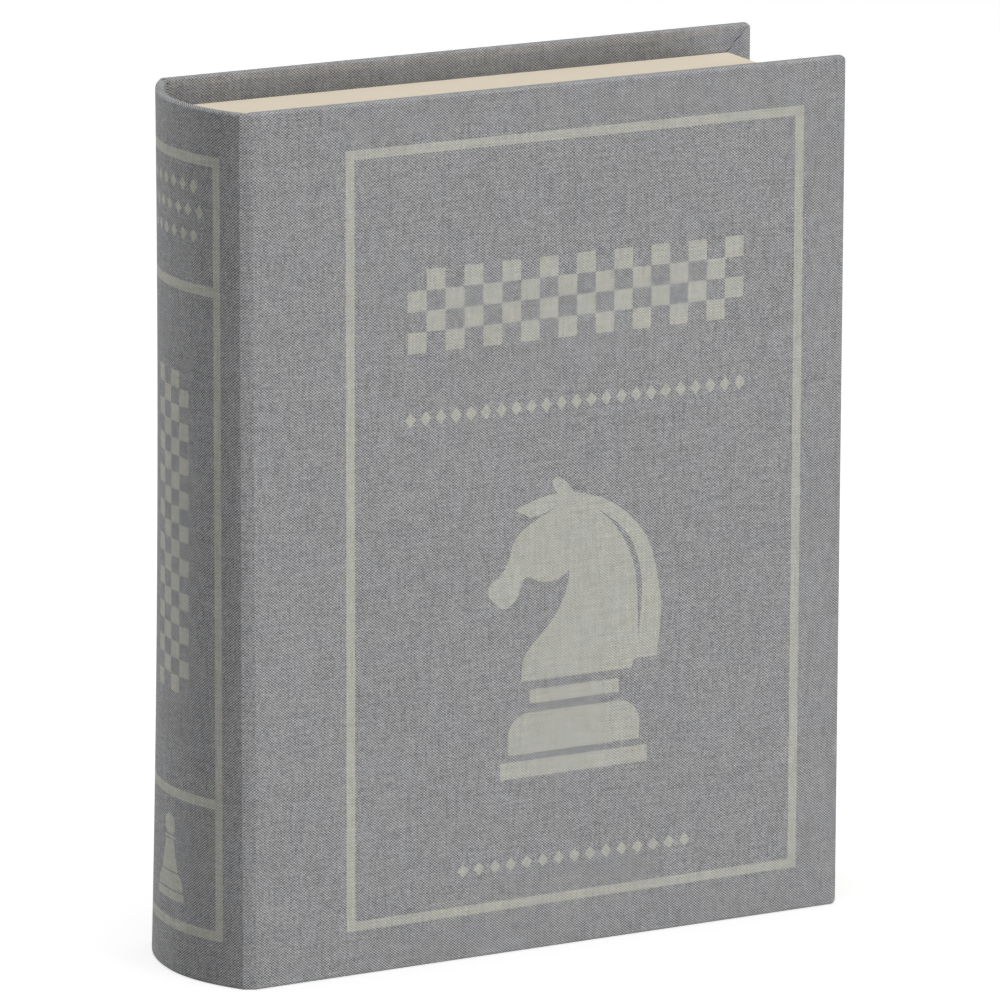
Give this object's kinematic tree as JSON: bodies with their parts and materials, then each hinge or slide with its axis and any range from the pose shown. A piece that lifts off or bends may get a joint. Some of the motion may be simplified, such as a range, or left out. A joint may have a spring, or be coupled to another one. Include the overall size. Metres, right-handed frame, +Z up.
{
  "type": "chess board game case",
  "caption": "Book-shaped, cloth-covered case with a round hollow spine and a hinged cover, holding a tray of chessmen in cells over a folding chess board.",
  "frame": {"origin": "the middle of the closed case's footprint, on the shelf that it stands on", "axes": "+Z up, towards the head; -Y is the side of the front cover; +X is the fore-edge and -X the spine"},
  "size_m": [0.207, 0.0604, 0.26],
  "materials": {
    "book_cloth": "matte",
    "cover_board": "matte",
    "endpaper": "matte",
    "cream_paper": "matte",
    "tray_board": "matte",
    "cell_board": "matte",
    "cell_felt": "matte",
    "foot_felt": "matte",
    "ribbon": "satin",
    "board_print": "satin",
    "board_back_paper": "matte",
    "booklet_paper": "matte",
    "staple_wire": "satin",
    "light_wood": "satin",
    "dark_wood": "satin"
  },
  "bodies": {
    "case": {"back_board": "cover_board", "back_cloth": "book_cloth", "back_endpaper": "endpaper", "back_joint_cloth": "book_cloth", "tray_floor": "tray_board", "tray_head_wall": "tray_board", "tray_tail_wall": "tray_board", "tray_fore_edge_wall": "tray_board", "tray_spine_wall": "tray_board", "tray_paper": "cream_paper", "insert_floor": "cell_board", "insert_end_walls": "cell_board", "insert_side_walls": "cell_board", "row_dividers": "cell_board", "cell_dividers": "cell_board", "cell_felts": "cell_felt", "lifting_loop": "ribbon", "insert_ribs": "tray_board", "board_leaves": "cover_board", "board_faces": "board_print", "board_backs": "board_back_paper", "board_hinges": "book_cloth", "bay_rails": "tray_board", "rules_booklet": "booklet_paper", "booklet_staples": "staple_wire", "light_king": "light_wood", "light_queen": "light_wood", "light_bishops": "light_wood", "light_knights": "light_wood", "light_rooks": "light_wood", "light_pawns": "light_wood", "light_foot_felts": "foot_felt", "dark_king": "dark_wood", "dark_queen": "dark_wood", "dark_bishops": "dark_wood", "dark_knights": "dark_wood", "dark_rooks": "dark_wood", "dark_pawns": "dark_wood", "dark_foot_felts": "foot_felt"},
    "spine": {"spine_board": "cover_board", "spine_cloth": "book_cloth", "spine_lining": "book_cloth", "front_joint_cloth": "book_cloth"},
    "front_cover": {"front_board": "cover_board", "front_cloth": "book_cloth", "front_endpaper": "endpaper"}
  },
  "joints": [
    {"name": "spine_hinge", "type": "hinge", "parent": "case", "child": "spine", "pos_m": [-0.09262, 0.02979, 0.13], "axis": [0, 0, -1], "range_deg": [0, 90]},
    {"name": "cover_hinge", "type": "hinge", "parent": "spine", "child": "front_cover", "pos_m": [-0.09262, -0.02979, 0.13], "axis": [0, 0, -1], "range_deg": [0, 180]}
  ]
}
